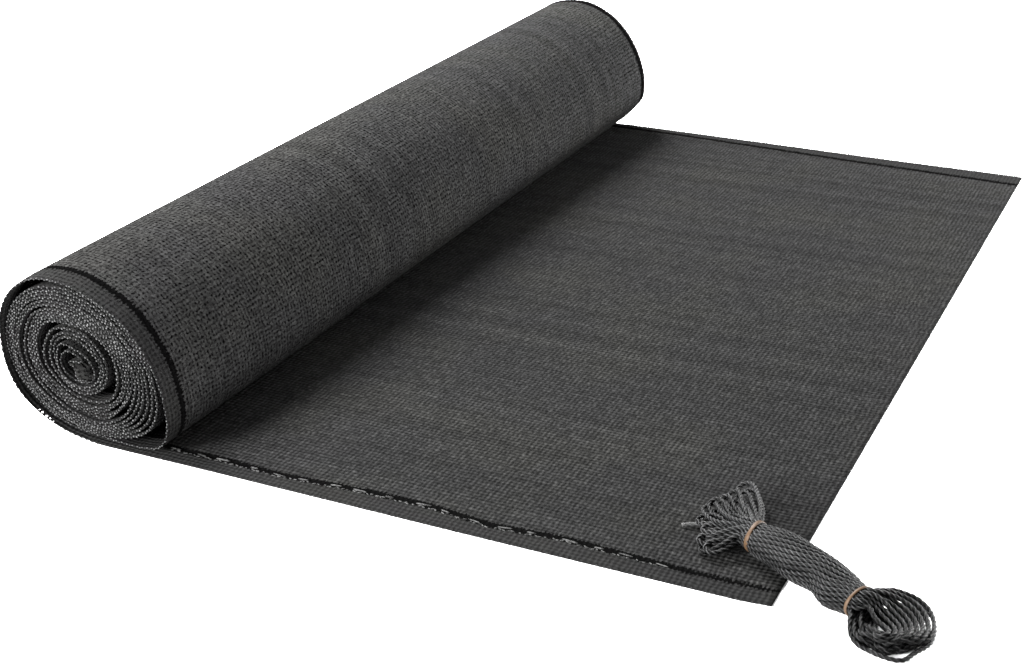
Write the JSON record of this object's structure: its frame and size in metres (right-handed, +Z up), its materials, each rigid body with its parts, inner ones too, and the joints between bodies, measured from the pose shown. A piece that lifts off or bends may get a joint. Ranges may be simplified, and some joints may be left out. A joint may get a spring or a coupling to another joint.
{
  "type": "balcony privacy screen roll with fixing cord",
  "caption": "Knitted mesh balcony privacy screen, part rolled with its hemmed end drawn out flat, and a banded hank of its fixing cord lying over the free corner.",
  "frame": {"origin": "on the floor, under the middle of the cloth's box, the hank of cord left out", "axes": "+X from the roll to the cut end of the loose end, +Y along the roll, +Z up"},
  "size_m": [0.6734, 0.9304, 0.1395],
  "materials": {
    "knitted_cloth": "matt anthracite knitted mesh",
    "cord": "dark twisted three-strand cord with a faint sheen",
    "elastic_band": "tan elastic band"
  },
  "bodies": {
    "root": {"screen_roll": "knitted_cloth", "screen_loose_end": "knitted_cloth", "cord_hank": "cord", "cord_loose_end": "cord", "hank_band_fan": "elastic_band", "hank_band_loops": "elastic_band"}
  },
  "joints": []
}
